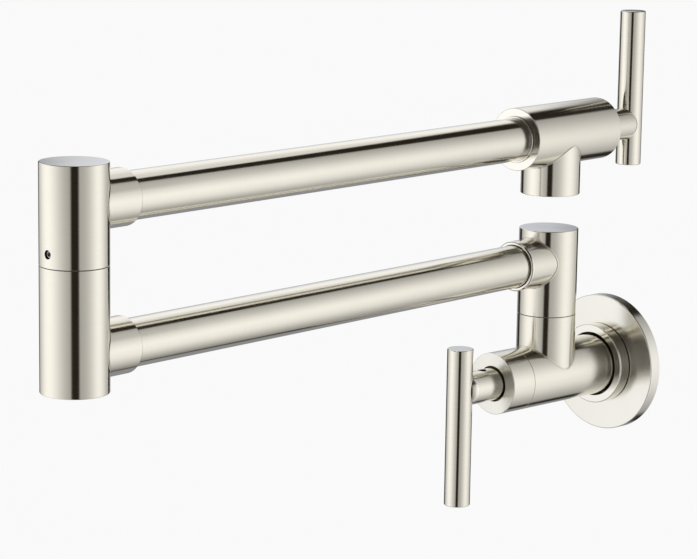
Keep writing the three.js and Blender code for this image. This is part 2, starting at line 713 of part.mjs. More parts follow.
const wallPost = turningPost(WALL_SEAM_HEIGHT, WALL_POST_TOP, ARM_ONE_HEIGHT);
piece(lowerArm, "wall_swivel_post", wallPost, NICKEL);
piece(lowerArm, "wall_post_grub_screw", postGrub(WALL_SEAM_HEIGHT), STEEL);

const tubeStart = SOCKET_FLOOR + FACE_GAP;
const lowerTube = outward(
  ring(TUBE_RADIUS, TUBE_BORE_RADIUS, tubeStart, ARM_LENGTH - tubeStart),
  ARM_ONE_HEIGHT,
);
piece(lowerArm, "lower_arm_tube", lowerTube, NICKEL);

// The elbow's fixed half faces back along the arm.
const elbowLower = new THREE.Group();
elbowLower.position.set(0, -ARM_LENGTH, 0);
elbowLower.rotation.z = Math.PI;
lowerArm.add(elbowLower);
const threadFloor = ELBOW_SEAM_HEIGHT - SPINDLE_THREAD_LENGTH - GAP;
const elbowLowerPost = upright(edgedRod(POST_RADIUS, ELBOW_BOTTOM, ELBOW_SEAM_HEIGHT, EDGE, 0))
  .add(outward(edgedRod(SOCKET_RADIUS, 0, SOCKET_END, 0, SOCKET_EDGE), ARM_ONE_HEIGHT))
  .subtract(
    upright(rod(SPINDLE_THREAD_RADIUS + GAP, threadFloor, ELBOW_SEAM_HEIGHT + GAP)),
  )
  .subtract(
    upright(rod(ARM_PASSAGE_RADIUS, ARM_ONE_HEIGHT - ARM_PASSAGE_RADIUS, threadFloor + GAP)),
  )
  .subtract(armPassage(ARM_ONE_HEIGHT));
piece(elbowLower, "elbow_lower_post", elbowLowerPost, NICKEL);
swivelPieces(elbowLower, "elbow", ELBOW_SEAM_HEIGHT);

// ---------- Upper arm ----------

// Folded straight back over the lower arm.
upperArm.position.set(0, -ARM_LENGTH, 0);
upperArm.rotation.z = Math.PI;
lowerArm.add(upperArm);

const elbowUpper = turningPost(ELBOW_SEAM_HEIGHT, ELBOW_TOP, ARM_TWO_HEIGHT);
piece(upperArm, "elbow_upper_post", elbowUpper, NICKEL);
piece(upperArm, "elbow_grub_screw", postGrub(ELBOW_SEAM_HEIGHT), STEEL);

const tailFloor = SPOUT_TAIL - TAIL_SOCKET_LENGTH;
const upperTube = outward(
  ring(TUBE_RADIUS, TUBE_BORE_RADIUS, tubeStart, ARM_LENGTH - tailFloor - FACE_GAP),
  ARM_TWO_HEIGHT,
);
piece(upperArm, "upper_arm_tube", upperTube, NICKEL);

// Spout valve: its own frame has the barrel's axis at z = 0 and the nozzle's at y = 0.
spoutValve.position.set(0, -ARM_LENGTH, ARM_TWO_HEIGHT);
upperArm.add(spoutValve);

const spoutSeat = SPOUT_SEAT_AHEAD;
const spoutBonnetBack = spoutSeat + BONNET_BACK;
const spoutFace = spoutBonnetBack + SPOUT_BONNET_THICKNESS;
const glandRadius = SOCKET_BORE_RADIUS + GLAND_WALL;
const glandFloor = -SPOUT_TAIL + GLAND_LENGTH - GLAND_PROUD;
const aeratorSeat = POST_RADIUS - NOZZLE_WALL;
const aeratorTop = -NOZZLE_LENGTH + AERATOR_SINK + AERATOR_LENGTH;

const spoutBody = outward(edgedRod(BARREL_RADIUS, -SPOUT_TAIL, spoutFace, EDGE, EDGE))
  .add(upright(edgedRod(POST_RADIUS, -NOZZLE_LENGTH, 0, EDGE, 0)))
  .subtract(outward(rod(SOCKET_BORE_RADIUS, -SPOUT_TAIL - GAP, -tailFloor)))
  .subtract(outward(rod(glandRadius + GAP, -SPOUT_TAIL - GAP, glandFloor + FACE_GAP)))
  .subtract(outward(rod(CHAMBER_RADIUS, spoutSeat, spoutFace)))
  .subtract(outward(rod(SLEEVE_BORE_RADIUS, spoutBonnetBack - FACE_GAP, spoutFace + GAP)))
  .subtract(outward(rod(PORT_RADIUS, -tailFloor - GAP, spoutSeat + GAP), PORT_OFFSET, SMALL_SIDES))
  .subtract(outward(rod(PORT_RADIUS, 0, spoutSeat + GAP), -PORT_OFFSET, SMALL_SIDES))
  .subtract(upright(rod(NOZZLE_BORE_RADIUS, -NOZZLE_LENGTH, -NOZZLE_ROOF)))
  .subtract(upright(rod(aeratorSeat, -NOZZLE_LENGTH - GAP, aeratorTop + FACE_GAP)));
piece(spoutValve, "spout_valve_body", spoutBody, NICKEL);

const gland = outward(
  ring(glandRadius, SOCKET_BORE_RADIUS, -SPOUT_TAIL - GLAND_PROUD, glandFloor),
);
piece(spoutValve, "tube_gland_ring", gland, NICKEL);

const bonnet = outward(ring(NOSE_RADIUS, FACE_HOLE_RADIUS, spoutBonnetBack, spoutFace));
piece(spoutValve, "spout_bonnet_ring", bonnet, NICKEL_FACE);

// Aerator: a screwed ring and a perforated insert.
const housingRadius = aeratorSeat - GAP;
const housingBore = housingRadius - AERATOR_WALL;
const housingBottom = -NOZZLE_LENGTH + AERATOR_SINK;
const housing = upright(ring(housingRadius, housingBore, housingBottom, aeratorTop));
piece(spoutValve, "aerator_housing", housing, NICKEL);

const insertBottom = housingBottom + AERATOR_INSERT_SINK;
const insertTop = insertBottom + AERATOR_INSERT_LENGTH;
const insertRadius = housingBore - GAP;
const insertTool = (x, v, from, to) => upright(rod(HOLE_RADIUS, from, to), v, HOLE_SIDES, x);
const insert = perforate(
  upright(rod(insertRadius, insertBottom, insertTop)),
  insertRadius - HOLE_RADIUS,
  insertBottom - GAP,
  insertTop + GAP,
  insertTool,
);
piece(spoutValve, "aerator_insert", insert, PLASTIC);

// The spout handle is the same handle turned over, so its bar points up.
spoutHandle.rotation.y = Math.PI;
spoutValve.add(spoutHandle);
cartridge(spoutValve, spoutHandle, "spout", spoutSeat);
handle(spoutHandle, "spout", spoutSeat);

export default filler;
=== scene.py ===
"""Satin nickel pot filler in a pale studio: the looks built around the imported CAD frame."""

import json
import math

import bmesh
import bpy
from mathutils import Matrix, Vector


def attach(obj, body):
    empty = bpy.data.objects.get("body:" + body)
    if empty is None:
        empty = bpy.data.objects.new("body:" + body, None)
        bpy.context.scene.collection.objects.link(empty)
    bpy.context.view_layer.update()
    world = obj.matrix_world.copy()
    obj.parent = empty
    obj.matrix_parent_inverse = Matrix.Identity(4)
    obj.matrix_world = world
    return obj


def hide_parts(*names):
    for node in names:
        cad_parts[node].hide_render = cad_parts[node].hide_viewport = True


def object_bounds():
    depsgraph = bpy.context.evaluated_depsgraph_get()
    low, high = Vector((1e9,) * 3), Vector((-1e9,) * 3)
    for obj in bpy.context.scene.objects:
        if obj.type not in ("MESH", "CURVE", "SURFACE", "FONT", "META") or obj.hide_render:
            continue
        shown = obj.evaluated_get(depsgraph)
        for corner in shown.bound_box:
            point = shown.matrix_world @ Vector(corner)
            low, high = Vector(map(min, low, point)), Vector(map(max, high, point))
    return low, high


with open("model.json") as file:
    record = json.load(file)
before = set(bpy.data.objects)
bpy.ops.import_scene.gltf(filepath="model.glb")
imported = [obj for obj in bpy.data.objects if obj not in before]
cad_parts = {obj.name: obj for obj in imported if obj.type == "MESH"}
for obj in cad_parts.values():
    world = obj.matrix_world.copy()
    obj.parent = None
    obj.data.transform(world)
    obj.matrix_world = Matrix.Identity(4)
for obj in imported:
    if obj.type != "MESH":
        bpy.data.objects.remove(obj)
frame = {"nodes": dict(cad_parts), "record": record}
cad_low, cad_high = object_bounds()

# ---------- Driving dimensions, in millimetres ----------

MM = 0.001
ROUND = 128  # facets round an outer piece
SMALL_ROUND = 48  # facets round a screw or a bore
PAST = 1.0  # how far a cutting tool runs past a surface

# Finish.
EDGE = 0.35  # rounding of the turned edges
SEAM_EDGE = 0.12  # rounding at a joint line
FILLET_BEAD = 0.42  # polished line where two cylinders meet

# Wall side: radii, and distances out from the wall.
FLANGE_RADIUS = 32.9
FLANGE_THICKNESS = 6.0
FLANGE_ROUNDING = 0.55
FLANGE_BACK_EDGE = 0.2
FLANGE_PLAY = 0.3  # round the barrel and round the gasket
GASKET_INNER_RADIUS = 22.3
GASKET_OUTER_RADIUS = 28.7
GASKET_THICKNESS = 0.9
GASKET_GROOVE = 1.15  # depth of the flange's groove
GASKET_STRIPES = 5
STRIPE_HALF_GAP = 0.3
STRIPE_DEPTH = 0.35
STRIPE_EDGE = 0.1
RING_BORE = 15.47
RING_RADIUS = 19.2
RING_RELIEF = 17.3  # radius of the step at the ring's foot
RING_FOOT = 6.6  # where that step ends
RING_FOOT_EDGE = 0.2
RING_BORE_EDGE = 0.25
RING_FRONT = 12.6
RING_ROUNDING = 0.6
BARREL_RADIUS = 14.57
BARREL_BACK = 0.4
INLET_RADIUS = 9.3
BUSHING_RADIUS = 12.2
BUSHING_PLAY = 0.3
BUSHING_END = 14.8
STRAINER_ROOM = 2.1  # behind the bushing
THREAD_PITCH = 1.8
THREAD_DEPTH = 0.9
THREAD_START = 0.6
THREAD_EDGE = 0.1
POST_OFFSET = 45.5
WALL_SEAT = 55.3
WALL_SEAM_HEIGHT = 29.6  # above the wall valve's axis, as are the heights below

# Ahead of a cartridge seat.
NOSE_END = 17.3
SLEEVE_SEAT = 5.2  # back from the nose's end
SLEEVE_GAP = 0.15  # the joint line behind the sleeve
SLEEVE_PLAY = 0.3  # ahead of the nose
HUB_BACK = 21.3
HUB_BORE_END = 37.8
HUB_END = 47.4
BAR_AXIS = 48.0
GRUB_AHEAD = 33.4
SLEEVE_FACE = 26.2
SPOUT_FACE = 22.1

# Handles.
HUB_RADIUS = 7.64
HUB_ROUNDING = 4.6  # of the domed end that runs into the bar
HUB_BACK_EDGE = 0.25
HUB_BORE = 4.6
FACE_HOLE = 8.44  # in a valve's front face, round the hub
FACE_HOLE_EDGE = 0.15
BAR_RADIUS = 6.1
BAR_PLAY = 0.12
BAR_LONG_END = 54.6
BAR_SHORT_END = 19.9
BAR_EDGE = 0.5
GRUB_RADIUS = 1.55
GRUB_HOLE = 1.85
GRUB_EDGE = 0.15
HUB_GRUB_HOLE = 2.1
HUB_HOLE_FOOT = 4.0  # above the hub's axis
HUB_CUT = 12.0  # reach of the hub's cutting tools, clear of its surface
GRUB_TOP = 5.9  # above the hub's axis
HEX_RADIUS = 0.95
HEX_DEPTH = 1.6
SPINDLE_FLAT = 3.55  # above the hub's axis, where the grub screw stands

# Posts and arms.
ARM_SWING = 4.6  # degrees
ARM_LENGTH = 300.0
LOWER_ARM_HEIGHT = 55.0
UPPER_ARM_HEIGHT = 114.9
TUBE_RADIUS = 10.0
TUBE_BORE = 8.7
TUBE_END = 14.95  # from a post's axis to the tube's end
TUBE_GAP = 0.25  # between the tube's end and the spout
POST_RADIUS = 13.95
SOCKET_RADIUS = 11.8
SOCKET_BORE = 10.3
SOCKET_FLOOR = 14.7
SOCKET_END = 26.1
SOCKET_ROUNDING = 1.05
WALL_POST_TOP = 70.6
ELBOW_BOTTOM = 39.5
ELBOW_SEAM_HEIGHT = 90.5
ELBOW_TOP = 131.6
SEAM = 0.3
SWIVEL_BORE = 8.3
SPINDLE_BORE = 9.0
SPINDLE_DEPTH = 13.3  # of a swivel spindle's socket below the seam
LOCK_HEIGHT = 5.8  # from a swivel's seam up to its grub screw
LOCK_HOLE_START = 6.0  # from the post's axis
POST_GRUB_FOOT = 8.1  # from the post's axis
POST_GRUB_TOP = 13.1

# Spout.
SPOUT_TAIL = 26.9
SPOUT_SEAT = 12.85
NOZZLE_LENGTH = 27.7
NOZZLE_BORE = 12.4
NOZZLE_BORE_END = 9.0  # below the spout's axis
TAIL_FLOOR = 15.4
CHAMBER_RADIUS = 10.3
BONNET_RING_RADIUS = 12.7
BONNET_RING_HOLE = 12.9
BONNET_HOLE_EDGE = 0.1
BONNET_SEAT = 4.75  # back from the spout's face
BONNET_RING_DEPTH = 4.5
GLAND_RADIUS = 10.85
GLAND_PLAY = 0.05
GLAND_TUBE_PLAY = 0.03
GLAND_FRONT = 28.0
GLAND_FLOOR = 24.7
GLAND_GAP = 0.25
GLAND_EDGE = 0.3
GLAND_BORE_EDGE = 0.1
AERATOR_RADIUS = 12.1
AERATOR_BORE = 10.0
AERATOR_BOTTOM = 27.2  # below the spout's axis
AERATOR_ROOF = 17.8
AERATOR_EDGE = 0.25

# ---------- Frames ----------

OUTWARD = Matrix(((1, 0, 0, 0), (0, 0, -1, 0), (0, 1, 0, 0), (0, 0, 0, 1)))
CAMERA_PLACE = Vector((0.860778, -0.982519, 0.286487))  # metres


def shift(x, y, z):
    """A move given in millimetres."""
    return Matrix.Translation(Vector((x, y, z)) * MM)


def about_z(degrees):
    """A turn about the vertical axis."""
    return Matrix.Rotation(math.radians(degrees), 4, "Z")


WALL = Matrix.Identity(4)
LOWER = shift(0, -POST_OFFSET, 0) @ about_z(ARM_SWING)
ELBOW = LOWER @ shift(0, -ARM_LENGTH, 0) @ about_z(180)
SPOUT = ELBOW @ shift(0, -ARM_LENGTH, UPPER_ARM_HEIGHT)
SPOUT_HANDLE = SPOUT @ Matrix.Rotation(math.pi, 4, "Y")

# ---------- Turned shapes ----------

ARC_STEP = math.radians(12)  # largest step along a rounded edge
NOTHING = 1e-6  # lengths below this count as none


def is_flat(normal):
    """1 where a surface faces along the axis it is turned about, and 0 elsewhere."""
    return float(abs(normal.x) < 0.01)


def sections_of(corners):
    """Straight and rounded stretches of a closed section: ends, outward normals, kind of surface.

    A corner is (radius, height) or (radius, height, rounding). A kind is (rounded edge, flat face).
    """
    points = [Vector(c[:2]) for c in corners]
    roundings = [c[2] if len(c) > 2 else 0.0 for c in corners]
    following = points[1:] + points[:1]
    if sum(a.x * b.y - b.x * a.y for a, b in zip(points, following)) < 0:
        points.reverse()
        roundings.reverse()
    arcs = []
    for i, (point, rounding) in enumerate(zip(points, roundings)):
        before = (point - points[i - 1]).normalized()
        after = (points[(i + 1) % len(points)] - point).normalized()
        turn = math.atan2(before.cross(after), before.dot(after))
        side = math.copysign(1.0, turn)
        start = point - before * rounding * math.tan(abs(turn) / 2)
        centre = start + Vector((-before.y, before.x)) * rounding * side
        steps = max(1, math.ceil(abs(turn) / ARC_STEP)) if rounding else 0
        arc = []
        for k in range(steps + 1):
            tangent = Matrix.Rotation(turn * k / steps if steps else 0.0, 2) @ before
            left = Vector((-tangent.y, tangent.x))
            arc.append((centre - left * rounding * side, -left))
        if not steps:
            arc = [(point, None)]
        arcs.append(arc)
    stretches = []
    for i, arc in enumerate(arcs):
        for (a, na), (b, nb) in zip(arc, arc[1:]):
            stretches.append((a, b, na, nb, (1.0, 0.0)))
        a, b = arc[-1][0], arcs[(i + 1) % len(arcs)][0][0]
        if (b - a).length > NOTHING:
            along = (b - a).normalized()
            normal = Vector((along.y, -along.x))
            stretches.append((a, b, normal, normal, (0.0, is_flat(normal))))
    return stretches


def turned(corners, place, sides=ROUND):
    """A solid turned about the Z axis of its place. Brush marks follow v, round the axis.

    The seam of the brush marks lies on the side turned away from the camera.
    """
    away = place.to_3x3().inverted() @ -CAMERA_PLACE
    seam = math.atan2(away.y, away.x)
    angles = [seam + math.tau * j / sides for j in range(sides + 1)]
    turns = [(math.cos(a), math.sin(a)) for a in angles]
    stretches = sections_of(corners)
    widest = max(s[0].x for s in stretches)
    vertices, rings = [], []
    for start, *_ in stretches:
        if start.x < NOTHING:
            rings.append([len(vertices)] * sides)
            vertices.append((0.0, 0.0, start.y))
        else:
            rings.append([len(vertices) + j for j in range(sides)])
            vertices.extend((start.x * c, start.x * s, start.y) for c, s in turns[:-1])
    faces, normals, grain, kinds = [], [], [], []
    length = 0.0
    for k, (a, b, na, nb, kind) in enumerate(stretches):
        low, high = rings[k], rings[(k + 1) % len(rings)]
        reach = length + (b - a).length
        for j in range(sides):
            if a.x < NOTHING and b.x < NOTHING:
                continue
            i = (j + 1) % sides
            corners_here = [(low[j], j, a, na, length), (low[i], j + 1, a, na, length)]
            corners_here += [(high[i], j + 1, b, nb, reach), (high[j], j, b, nb, reach)]
            if a.x < NOTHING:
                corners_here.pop(1)
            elif b.x < NOTHING:
                corners_here.pop(2)
            faces.append([c[0] for c in corners_here])
            for _, step, point, normal, u in corners_here:
                c, s = turns[step]
                normals.append((normal.x * c, normal.x * s, normal.y))
                grain.append((u, (angles[step] - seam) * widest))
                kinds.append(kind)
        length = reach
    return mesh_object(vertices, faces, normals, grain, kinds, place)


def out(profile, z=0.0, y=0.0, sides=ROUND, base=WALL):
    """Turned about an axis square to the wall, measured out from y."""
    return turned(profile, base @ shift(0, y, z) @ OUTWARD, sides)


def up(profile, y=0.0, sides=ROUND, base=WALL):
    """Turned about a vertical axis."""
    return turned(profile, base @ shift(0, y, 0), sides)


def mesh_object(vertices, faces, normals, grain, kinds, place):
    """An object whose corners carry their true normal, brush coordinates and kind of surface."""
    mesh = bpy.data.meshes.new("turned")
    mesh.from_pydata([place @ (Vector(v) * MM) for v in vertices], [], faces)
    spin = place.to_3x3()
    attribute = mesh.attributes.new("true_normal", "FLOAT_VECTOR", "CORNER")
    attribute.data.foreach_set("vector", [x for n in normals for x in spin @ Vector(n)])
    layer = mesh.uv_layers.new(name="grain")
    layer.data.foreach_set("uv", [x for pair in grain for x in pair])
    for name, values in zip(("rim", "flat"), zip(*kinds)):
        mesh.attributes.new(name, "FLOAT", "CORNER").data.foreach_set("value", values)
    # 1 on the walls of drilled holes, which the nickel paints near black as painted shade
    mesh.attributes.new("bore", "FLOAT", "CORNER")
    obj = bpy.data.objects.new("turned", mesh)
    bpy.context.scene.collection.objects.link(obj)
    return obj


def rod(radius, low, high, rounding=0.0, low_rounding=None):
    """Section of a plain rod, its edges rounded."""
    low_rounding = rounding if low_rounding is None else low_rounding
    return [(0, low), (radius, low, low_rounding), (radius, high, rounding), (0, high)]


def ring(outer, inner, low, high, rounding=0.0, bore_rounding=0.0):
    """Section of a ring."""
    return [
        (inner, low, bore_rounding),
        (outer, low, rounding),
        (outer, high, rounding),
        (inner, high, bore_rounding),
    ]


def combined(base, operation, *tools):
    """Joins tools to a base or cuts them from it, and removes them."""
    for tool in tools:
        modifier = base.modifiers.new("combine", "BOOLEAN")
        modifier.operation = operation
        modifier.solver = "EXACT"
        modifier.object = tool
        evaluated = base.evaluated_get(bpy.context.evaluated_depsgraph_get())
        mesh = bpy.data.meshes.new_from_object(evaluated)
        base.modifiers.clear()
        base.data = mesh
        bpy.data.objects.remove(tool)
    return base


def joined(base, *others):
    """Adds meshes to a base without merging their surfaces."""
    with bpy.context.temp_override(
        active_object=base, object=base, selected_editable_objects=[base, *others]
    ):
        bpy.ops.object.join()
    return base


def drill_shade_painted(tool):
    """Marks a cutting tool, so that the hole it leaves is dull and painted near black, as painted shade
    inside the hole.
    """
    values = tool.data.attributes["bore"].data
    values.foreach_set("value", [1.0] * len(values))
    return tool


def settle_normals(mesh):
    """Gives each corner its true normal, turned outward."""
    attribute = mesh.attributes["true_normal"]
    normals = [None] * len(mesh.loops)
    for face in mesh.polygons:
        face.use_smooth = True
        for i in face.loop_indices:
            normal = attribute.data[i].vector.normalized()
            normals[i] = normal if normal.dot(face.normal) >= 0 else -normal
    mesh.normals_split_custom_set(normals)
    mesh.attributes.remove(mesh.attributes["true_normal"])


def piece(obj, name, body, material, slot, *nodes):
    """Names a finished piece and ties it to the frame."""
    obj.name = obj.data.name = name
    settle_normals(obj.data)
    obj.data.materials.clear()
    obj.data.materials.append(material)
    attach(obj, body)
    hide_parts(*nodes)


BEAD_SIDES = 10
SADDLE_STEPS = 120


def bead(path, place):
    """A closed round line along a path given in millimetres, for a polished fillet."""
    count = len(path)
    around = BEAD_SIDES
    vertices, faces, normals, grain = [], [], [], []
    rings = []
    for i, (point, towards) in enumerate(path):
        tangent = (path[(i + 1) % count][0] - path[i - 1][0]).normalized()
        first = (towards - tangent * towards.dot(tangent)).normalized()
        second = tangent.cross(first)
        ring_normals = [
            first * math.cos(math.tau * k / around) + second * math.sin(math.tau * k / around)
            for k in range(around)
        ]
        rings.append(ring_normals)
        vertices.extend(point + n * FILLET_BEAD for n in ring_normals)
    for i in range(count):
        for k in range(around):
            j, m = (i + 1) % count, (k + 1) % around
            steps = [(i, k, 0, 0), (i, m, 0, 1), (j, m, 1, 1), (j, k, 1, 0)]
            faces.append([a * around + b for a, b, _, _ in steps])
            normals.extend(rings[a][b] for a, b, _, _ in steps)
            grain.extend(((k + dk) * 0.1, (i + di) * 0.5) for _, _, di, dk in steps)
    return mesh_object(vertices, faces, normals, grain, [(1.0, 0.0)] * len(normals), place)


def saddle(leg_radius, trunk_radius, leg_along_z, centre, side):
    """Where a leg of one radius leaves a thicker trunk: points and the way the corner opens."""
    path = []
    for i in range(SADDLE_STEPS):
        angle = math.tau * i / SADDLE_STEPS
        across, along = leg_radius * math.cos(angle), leg_radius * math.sin(angle)
        reach = side * math.sqrt(trunk_radius**2 - across**2)
        leg_normal = Vector((math.cos(angle), math.sin(angle)))
        if leg_along_z:
            point = Vector((across, centre + along, reach))
            opening = Vector((leg_normal.x, leg_normal.y, 0)) + Vector((across, 0, reach)).normalized()
        else:
            point = Vector((across, reach, centre + along))
            opening = Vector((leg_normal.x, 0, leg_normal.y)) + Vector((across, reach, 0)).normalized()
        path.append((point, opening.normalized()))
    return path


# ---------- Materials ----------

NOISE_LOW = 0.3  # most of a noise's values lie between these two
NOISE_HIGH = 0.7
BLACK = (0.0, 0.0, 0.0, 1.0)


class Shader:
    """A material's node tree with short helpers."""

    def __init__(self, name):
        self.material = bpy.data.materials.new(name)
        self.material.use_nodes = True
        self.tree = self.material.node_tree
        self.surface = self.tree.nodes["Principled BSDF"]

    def node(self, kind, values=None, **settings):
        """A node with its inputs set or linked."""
        made = self.tree.nodes.new(kind)
        for key, value in settings.items():
            setattr(made, key, value)
        for key, value in (values or {}).items():
            if isinstance(value, bpy.types.NodeSocket):
                self.tree.links.new(value, made.inputs[key])
            else:
                made.inputs[key].default_value = value
        return made

    def link(self, output, socket):
        self.tree.links.new(output, self.surface.inputs[socket])

    def set(self, **values):
        for key, value in values.items():
            self.surface.inputs[key.replace("_", " ")].default_value = value

    def grain(self):
        """Brush coordinates: x across the marks and y along them."""
        return self.node("ShaderNodeUVMap", uv_map="grain").outputs["UV"]

    def object_place(self):
        return self.node("ShaderNodeTexCoord").outputs["Object"]

    def attribute(self, name):
        return self.node("ShaderNodeAttribute", attribute_name=name).outputs["Fac"]

    def stretched_noise(self, coordinates, scale, detail=3.0):
        """Noise with a scale of its own along each axis."""
        mapped = self.node("ShaderNodeMapping", {"Vector": coordinates, "Scale": scale})
        noise = self.node(
            "ShaderNodeTexNoise",
            {"Vector": mapped.outputs["Vector"], "Scale": 1.0, "Detail": detail, "Roughness": 0.6},
            noise_dimensions="3D",
        )
        return noise.outputs["Fac"]

    def remap(self, value, low, high, to_low, to_high):
        values = {"Value": value, "From Min": low, "From Max": high, "To Min": to_low, "To Max": to_high}
        return self.node("ShaderNodeMapRange", values).outputs["Result"]

    def math(self, operation, a, b=0.0):
        """One step of arithmetic on sockets or numbers."""
        made = self.node("ShaderNodeMath", operation=operation)
        for socket, value in zip(made.inputs, (a, b)):
            if isinstance(value, bpy.types.NodeSocket):
                self.tree.links.new(value, socket)
            else:
                socket.default_value = value
        return made.outputs["Value"]

    def add(self, a, b):
        return self.math("ADD", a, b)

    def minus(self, a, b):
        return self.math("SUBTRACT", a, b)

    def times(self, *factors):
        total = factors[0]
        for factor in factors[1:]:
            total = self.math("MULTIPLY", total, factor)
        return total

    def inverse(self, value):
        return self.minus(1.0, value)

    def spread(self, noise, to_low, to_high):
        """Stretches the middle of a noise's values over a range."""
        return self.remap(noise, NOISE_LOW, NOISE_HIGH, to_low, to_high)

    def soft_edge(self, value, at, softness):
        """0 below an edge and 1 above it."""
        values = {"Value": value, "From Min": at - softness, "From Max": at + softness}
        made = self.node("ShaderNodeMapRange", values, interpolation_type="SMOOTHSTEP")
        return made.outputs["Result"]

    def hump(self, value, centre, width):
        """1 at the centre, falling off as a bell."""
        off = self.math("DIVIDE", self.minus(value, centre), width)
        return self.math("EXPONENT", self.times(off, off, -1.0))

    def mix(self, factor, a, b):
        """Colour a where the factor is 0 and b where it is 1."""
        values = {"Factor": factor, "A": a, "B": b}
        made = self.node("ShaderNodeMix", data_type="RGBA")
        for key, value in values.items():
            sockets = [s for s in made.inputs if s.name == key and s.enabled]
            if isinstance(value, bpy.types.NodeSocket):
                self.tree.links.new(value, sockets[0])
            else:
                sockets[0].default_value = value
        return [s for s in made.outputs if s.enabled][0]

    def bump(self, height, strength, distance):
        values = {"Height": height, "Strength": strength, "Distance": distance}
        self.link(self.node("ShaderNodeBump", values).outputs["Normal"], "Normal")


def scaled(color, *factors):
    """A colour with each channel multiplied, as a shader takes it."""
    return (*(c * f for c, f in zip(color, factors)), 1.0)


NICKEL_TINT = (0.91, 0.88, 0.79)
FACE_TINT = (0.91, 0.895, 0.832)
# painted shade: the near-black colour given to a drilled hole's walls
BORE_PAINTED_SHADE = (0.07, 0.065, 0.055, 1.0)
BORE_DULLNESS = 0.3  # added to the roughness of a drilled hole
RIM_POLISH = 0.02  # taken off the roughness of a rounded edge
STREAK = 0.02  # how far brush marks change the roughness
FINE_MARKS = (9.0, 0.10, 1.0)
COARSE_MARKS = (1.6, 0.03, 1.0)
COARSE_SHARE = 0.7
CLOUDS = (38, 38, 38)


def brushed_nickel(name, color, roughness, face_extra):
    """Satin nickel, brushed round its axis, with polished rims, whiter turned faces and drilled holes
    painted near black as painted shade.

    The last number is added to the roughness of the turned faces.
    """
    shader = Shader(name)
    coordinates = shader.grain()
    fine = shader.stretched_noise(coordinates, FINE_MARKS)
    coarse = shader.stretched_noise(coordinates, COARSE_MARKS, detail=2.0)
    clouds = shader.stretched_noise(shader.object_place(), CLOUDS)
    rim = shader.attribute("rim")
    flat = shader.attribute("flat")
    bore = shader.attribute("bore")
    base = shader.mix(shader.spread(fine, 0.0, 1.0), scaled(color, 0.94, 0.93, 0.91), (*color, 1.0))
    base = shader.mix(flat, base, (*FACE_TINT, 1.0))
    base = shader.mix(rim, base, scaled(color, 1.04, 1.04, 1.05))
    # drilled holes take a near-black colour: painted shade inside them
    shader.link(shader.mix(bore, base, BORE_PAINTED_SHADE), "Base Color")
    rough = shader.spread(fine, roughness - STREAK, roughness + STREAK)
    rough = shader.add(rough, shader.remap(clouds, 0.35, 0.7, -0.015, 0.03))
    rough = shader.minus(rough, shader.times(rim, RIM_POLISH))
    rough = shader.add(rough, shader.times(flat, face_extra))
    rough = shader.add(rough, shader.times(bore, BORE_DULLNESS))
    shader.link(rough, "Roughness")
    shader.set(Metallic=1.0, Anisotropic=0.8)
    tangent = shader.node("ShaderNodeTangent", direction_type="UV_MAP", uv_map="grain")
    shader.link(tangent.outputs["Tangent"], "Tangent")
    height = shader.add(fine, shader.times(coarse, COARSE_SHARE))
    shader.bump(height, strength=0.10, distance=0.00004)
    return shader.material


def speckled(name, color, variation, roughness, scale, bump, metallic=0.0):
    """A plain material with a fine uneven surface."""
    shader = Shader(name)
    noise = shader.stretched_noise(shader.object_place(), (scale, scale, scale), detail=4.0)
    fade = 1 - variation
    shader.link(shader.mix(noise, scaled(color, fade, fade, fade), (*color, 1.0)), "Base Color")
    shader.link(shader.spread(noise, roughness - 0.06, roughness + 0.06), "Roughness")
    shader.set(Metallic=metallic)
    shader.bump(noise, strength=0.2, distance=bump)
    return shader.material


# painted shade: the near-black colour painted inside the aerator's holes
HOLE_PAINTED_SHADE = (0.012, 0.012, 0.012, 1.0)
HOLE_EDGE = (0.07, 0.13)  # where a hole's wall starts and ends, as a share of the pitch


def perforated(name, color, pitch, roughness):
    """Moulded plastic with a square grid of through holes, seen from below; the holes are painted near
    black as painted shade inside them.
    """
    shader = Shader(name)
    coordinates = shader.object_place()
    grid = shader.node(
        "ShaderNodeTexVoronoi",
        {"Vector": coordinates, "Scale": 1 / (pitch * MM), "Randomness": 0.0},
        voronoi_dimensions="2D",
        feature="DISTANCE_TO_EDGE",
    )
    hole = shader.remap(grid.outputs["Distance"], *HOLE_EDGE, 0.0, 1.0)
    speckle = shader.stretched_noise(coordinates, (900, 900, 900))
    wall = shader.mix(speckle, scaled(color, 0.94, 0.94, 0.94), (*color, 1.0))
    # painted shade: the holes are painted near black
    shader.link(shader.mix(hole, wall, HOLE_PAINTED_SHADE), "Base Color")
    shader.link(shader.spread(speckle, roughness - 0.05, roughness + 0.05), "Roughness")
    shader.bump(shader.inverse(hole), strength=0.5, distance=0.0002)
    return shader.material


NICKEL = brushed_nickel("satin_nickel", NICKEL_TINT, roughness=0.13, face_extra=-0.02)
NICKEL_SLEEVE = brushed_nickel("satin_nickel_sleeve", NICKEL_TINT, roughness=0.13, face_extra=0.15)
NICKEL_FACE = brushed_nickel("satin_nickel_face", FACE_TINT, roughness=0.15, face_extra=0.03)
BRASS = speckled(
    "machined_brass",
    (0.80, 0.62, 0.30),
    variation=0.12,
    roughness=0.30,
    scale=900,
    bump=0.00003,
    metallic=1.0,
)
STEEL = speckled(
    "screw_steel",
    (0.50, 0.50, 0.49),
    variation=0.2,
    roughness=0.36,
    scale=1400,
    bump=0.00003,
    metallic=1.0,
)
RUBBER = speckled(
    "black_rubber", (0.016, 0.016, 0.017), variation=0.4, roughness=0.72, scale=2500, bump=0.00006
)
CERAMIC = speckled(
    "lapped_ceramic", (0.86, 0.83, 0.78), variation=0.04, roughness=0.22, scale=700, bump=0.00001
)
WASHER = speckled(
    "white_washer", (0.80, 0.80, 0.78), variation=0.05, roughness=0.45, scale=900, bump=0.00002
)
AERATOR = perforated("pale_plastic", (0.70, 0.71, 0.70), pitch=1.4, roughness=0.42)

# ---------- Wall side ----------


